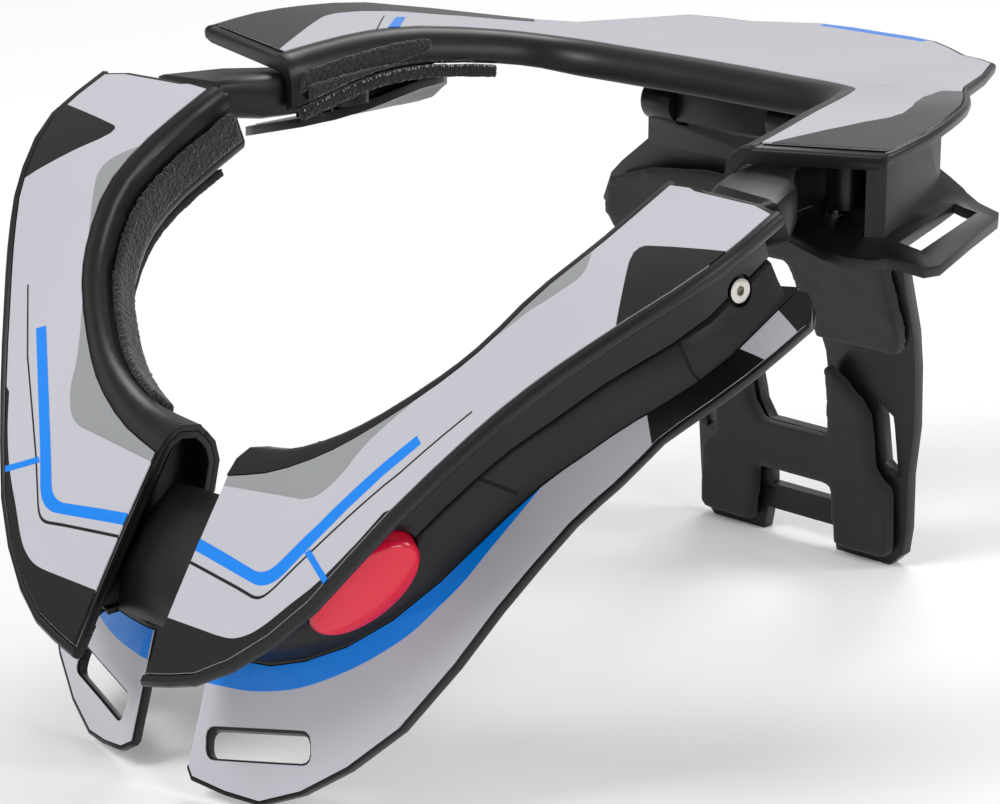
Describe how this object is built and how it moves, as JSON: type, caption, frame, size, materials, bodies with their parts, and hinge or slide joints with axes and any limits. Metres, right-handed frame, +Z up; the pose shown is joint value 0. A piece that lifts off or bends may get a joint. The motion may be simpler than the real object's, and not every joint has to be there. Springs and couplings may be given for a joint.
{
  "type": "motocross neck brace",
  "caption": "Motocross neck brace with two hinged front arms latched at the chest, a rear table and a hinged padded back strut.",
  "frame": {"origin": "middle of the footprint on the surface it stands on", "axes": "+X the wearer's left, -Y the chest, +Z up"},
  "size_m": [0.311, 0.3822, 0.2039],
  "materials": {
    "shell": "satin moulded",
    "printed_skin": "printed film",
    "loop_fabric": "brushed loop pile",
    "foam": "closed cell foam",
    "button": "gloss moulded",
    "steel": "stainless"
  },
  "bodies": {
    "root": {"rear_table": "shell", "table_decal": "printed_skin", "left_table_loop": "loop_fabric", "right_table_loop": "loop_fabric", "left_pad_strip": "loop_fabric", "right_pad_strip": "loop_fabric", "left_housing": "shell", "right_housing": "shell", "left_hinge_pin": "steel", "right_hinge_pin": "steel", "strut_bracket": "shell", "strut_pin": "steel"},
    "left_arm": {"left_upper_shell": "shell", "left_lower_shell": "shell", "left_top_decal": "printed_skin", "left_lower_decal": "printed_skin", "left_neck_loop": "loop_fabric", "left_body_pad": "foam", "left_clamp_screw": "steel", "left_connector": "shell", "latch_tongue": "shell"},
    "right_arm": {"right_upper_shell": "shell", "right_lower_shell": "shell", "right_top_decal": "printed_skin", "right_lower_decal": "printed_skin", "right_neck_loop": "loop_fabric", "right_body_pad": "foam", "right_clamp_screw": "steel", "right_connector": "shell", "latch_frame": "shell"},
    "button": {"release_button": "button"},
    "strut": {"strut_plate": "shell", "strut_upper_pad": "foam", "strut_lower_pad": "foam"}
  },
  "joints": [
    {"name": "left_arm_hinge", "type": "hinge", "parent": "root", "child": "left_arm", "pos_m": [0.115, 0.01738, 0.183], "axis": [0, 0, 1], "range_deg": [0, 25]},
    {"name": "right_arm_hinge", "type": "hinge", "parent": "root", "child": "right_arm", "pos_m": [-0.115, 0.01738, 0.183], "axis": [0, 0, -1], "range_deg": [0, 25]},
    {"name": "strut_hinge", "type": "hinge", "parent": "root", "child": "strut", "pos_m": [0, 0.10238, 0.1742], "axis": [1, 0, 0], "range_deg": [-30, 0]},
    {"name": "button_press", "type": "slide", "parent": "left_arm", "child": "button", "axis": [-0.8428, 0.4306, 0.323], "range_m": [0, 0.003], "stiffness_N_per_m": 800}
  ]
}
